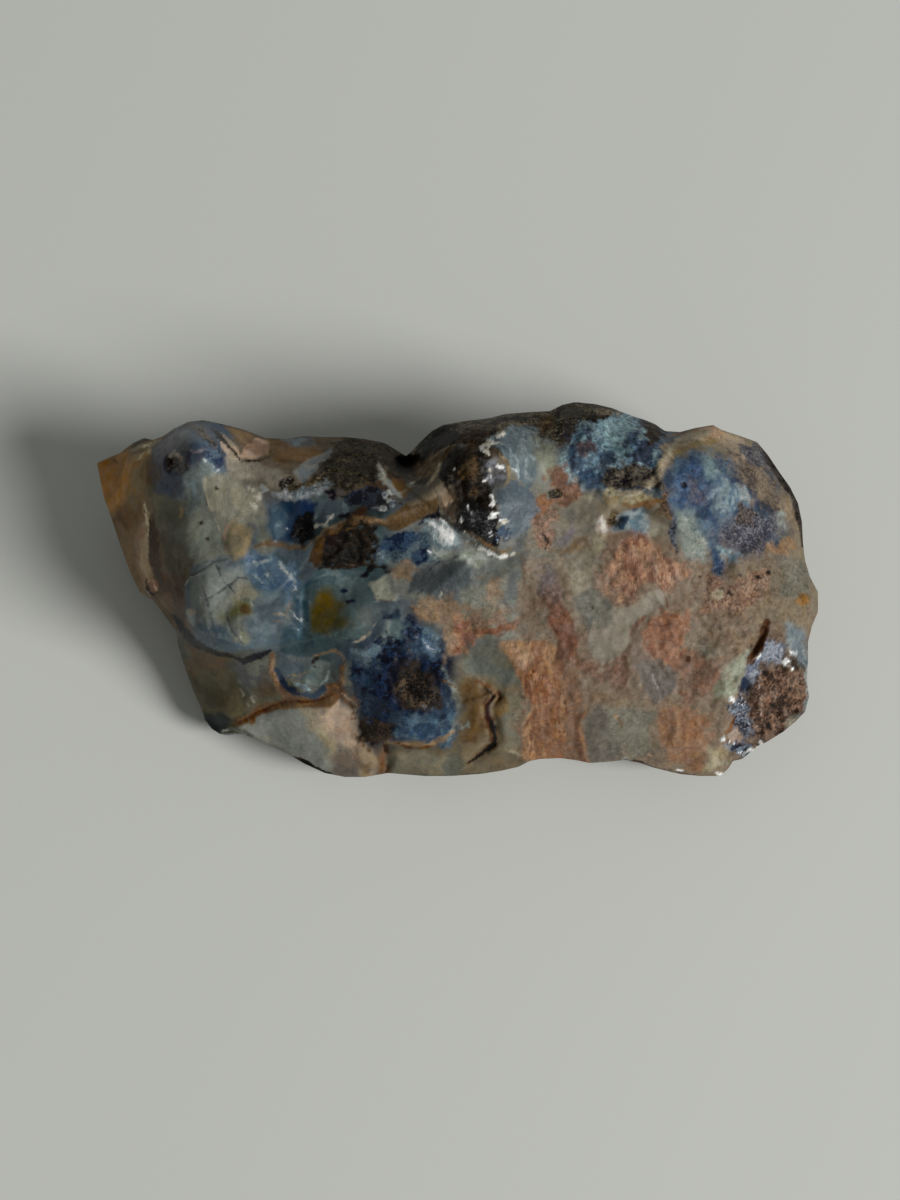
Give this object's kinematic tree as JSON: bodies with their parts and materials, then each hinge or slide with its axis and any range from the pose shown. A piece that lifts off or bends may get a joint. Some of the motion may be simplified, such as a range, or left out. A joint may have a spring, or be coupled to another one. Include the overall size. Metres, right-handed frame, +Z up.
{
  "type": "boulder opal",
  "caption": "Rough piece of boulder opal: blue, grey, honey and cream potch and opal grown through dark ironstone, with domes, ledges and pits, on a flat parting plane.",
  "frame": {"origin": "under the middle of the stone's outline, on the plane that it rests on", "axes": "+X along the stone towards its rough ironstone end, +Z up through the opal face, +Y towards the high edge with the cleft"},
  "size_m": [0.0652, 0.032, 0.0208],
  "materials": {
    "opal": "natural opal and ironstone, glossy to waxy on the opal and dull on the ironstone"
  },
  "bodies": {
    "root": {"boulder_opal": "opal"}
  },
  "joints": []
}
